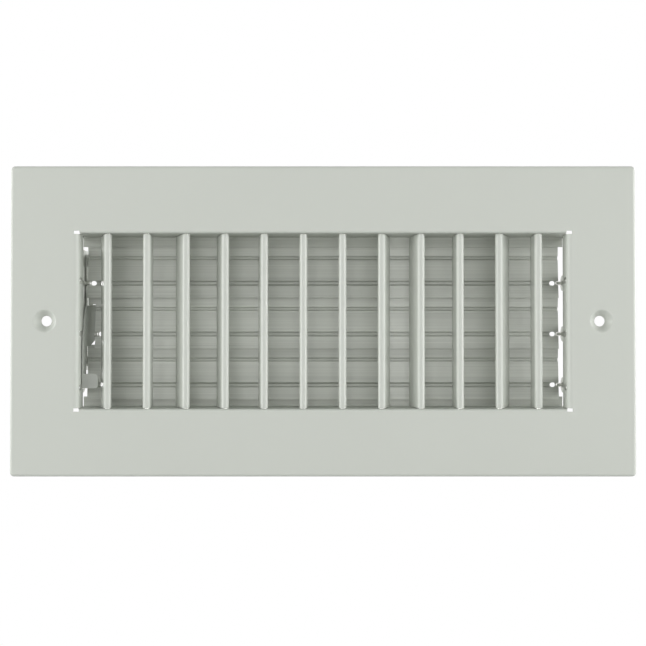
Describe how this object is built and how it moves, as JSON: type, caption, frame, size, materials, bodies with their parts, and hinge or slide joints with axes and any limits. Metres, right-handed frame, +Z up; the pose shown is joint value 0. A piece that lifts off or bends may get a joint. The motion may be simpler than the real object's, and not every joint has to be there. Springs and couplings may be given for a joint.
{
  "type": "vent register",
  "caption": "Painted steel wall register: folded face plate with screw dimples, adjustable vertical bars and a lever-worked shutter damper behind them.",
  "frame": {"origin": "middle of the face, on the wall plane that the folded rim rests on", "axes": "+X to the right and +Z up as the register hangs, +Y into the wall"},
  "size_m": [0.302, 0.0348, 0.15],
  "materials": {
    "face_paint": "satin off-white baked enamel",
    "bar_paint": "satin off-white baked enamel",
    "damper_paint": "satin off-white baked enamel, thinner coat",
    "lever_paint": "satin off-white baked enamel, rubbed at the thumb tab",
    "plated_wire": "bright zinc plate"
  },
  "bodies": {
    "case": {"face_frame": "face_paint", "top_rail": "damper_paint", "bottom_rail": "damper_paint", "left_end_plate": "damper_paint", "right_end_plate": "damper_paint"},
    "bar_body_01": {"bar_01": "bar_paint", "bar_wire_01": "plated_wire"},
    "bar_body_02": {"bar_02": "bar_paint", "bar_wire_02": "plated_wire"},
    "bar_body_03": {"bar_03": "bar_paint", "bar_wire_03": "plated_wire"},
    "bar_body_04": {"bar_04": "bar_paint", "bar_wire_04": "plated_wire"},
    "bar_body_05": {"bar_05": "bar_paint", "bar_wire_05": "plated_wire"},
    "bar_body_06": {"bar_06": "bar_paint", "bar_wire_06": "plated_wire"},
    "bar_body_07": {"bar_07": "bar_paint", "bar_wire_07": "plated_wire"},
    "bar_body_08": {"bar_08": "bar_paint", "bar_wire_08": "plated_wire"},
    "bar_body_09": {"bar_09": "bar_paint", "bar_wire_09": "plated_wire"},
    "bar_body_10": {"bar_10": "bar_paint", "bar_wire_10": "plated_wire"},
    "bar_body_11": {"bar_11": "bar_paint", "bar_wire_11": "plated_wire"},
    "bar_body_12": {"bar_12": "bar_paint", "bar_wire_12": "plated_wire"},
    "lower_shutter_body": {"lower_shutter": "damper_paint", "lower_shutter_pins": "plated_wire"},
    "middle_shutter_body": {"middle_shutter": "damper_paint", "middle_shutter_pins": "plated_wire", "damper_lever": "lever_paint"},
    "upper_shutter_body": {"upper_shutter": "damper_paint", "upper_shutter_pins": "plated_wire"},
    "link_body": {"link_bar": "damper_paint"}
  },
  "joints": [
    {"name": "bar_turn_01", "type": "hinge", "parent": "case", "child": "bar_body_01", "pos_m": [-0.10477, 0, 0], "axis": [0, 0, -1], "range_deg": [-15, 65]},
    {"name": "bar_turn_02", "type": "hinge", "parent": "case", "child": "bar_body_02", "pos_m": [-0.08572, 0, 0], "axis": [0, 0, -1], "range_deg": [-40, 40]},
    {"name": "bar_turn_03", "type": "hinge", "parent": "case", "child": "bar_body_03", "pos_m": [-0.06667, 0, 0], "axis": [0, 0, -1], "range_deg": [-12, 68]},
    {"name": "bar_turn_04", "type": "hinge", "parent": "case", "child": "bar_body_04", "pos_m": [-0.04763, 0, 0], "axis": [0, 0, -1], "range_deg": [-18, 62]},
    {"name": "bar_turn_05", "type": "hinge", "parent": "case", "child": "bar_body_05", "pos_m": [-0.02857, 0, 0], "axis": [0, 0, -1], "range_deg": [-26, 54]},
    {"name": "bar_turn_06", "type": "hinge", "parent": "case", "child": "bar_body_06", "pos_m": [-0.00953, 0, 0], "axis": [0, 0, -1], "range_deg": [-40, 40]},
    {"name": "bar_turn_07", "type": "hinge", "parent": "case", "child": "bar_body_07", "pos_m": [0.00953, 0, 0], "axis": [0, 0, -1], "range_deg": [-40, 40]},
    {"name": "bar_turn_08", "type": "hinge", "parent": "case", "child": "bar_body_08", "pos_m": [0.02857, 0, 0], "axis": [0, 0, -1], "range_deg": [-59, 21]},
    {"name": "bar_turn_09", "type": "hinge", "parent": "case", "child": "bar_body_09", "pos_m": [0.04763, 0, 0], "axis": [0, 0, -1], "range_deg": [-23, 57]},
    {"name": "bar_turn_10", "type": "hinge", "parent": "case", "child": "bar_body_10", "pos_m": [0.06667, 0, 0], "axis": [0, 0, -1], "range_deg": [-34, 46]},
    {"name": "bar_turn_11", "type": "hinge", "parent": "case", "child": "bar_body_11", "pos_m": [0.08572, 0, 0], "axis": [0, 0, -1], "range_deg": [-70, 10]},
    {"name": "bar_turn_12", "type": "hinge", "parent": "case", "child": "bar_body_12", "pos_m": [0.10477, 0, 0], "axis": [0, 0, -1], "range_deg": [-39, 41]},
    {"name": "middle_shutter_turn", "type": "hinge", "parent": "case", "child": "middle_shutter_body", "pos_m": [0, 0.023, -0.0062], "axis": [-1, 0, 0], "range_deg": [0, 85]},
    {"name": "lower_shutter_turn", "type": "hinge", "parent": "case", "child": "lower_shutter_body", "pos_m": [0, 0.023, -0.0322], "axis": [-1, 0, 0], "range_deg": [0, 85]},
    {"name": "upper_shutter_turn", "type": "hinge", "parent": "case", "child": "upper_shutter_body", "pos_m": [0, 0.023, 0.0198], "axis": [-1, 0, 0], "range_deg": [0, 85]},
    {"name": "link_turn", "type": "hinge", "parent": "middle_shutter_body", "child": "link_body", "pos_m": [-0.1215, 0.0278, 0.006], "axis": [-1, 0, 0], "range_deg": [-85, 0]}
  ],
  "couplings": [
    {"joint": "lower_shutter_turn", "follows": "middle_shutter_turn", "ratio": 1},
    {"joint": "upper_shutter_turn", "follows": "middle_shutter_turn", "ratio": 1},
    {"joint": "link_turn", "follows": "middle_shutter_turn", "ratio": -1}
  ]
}
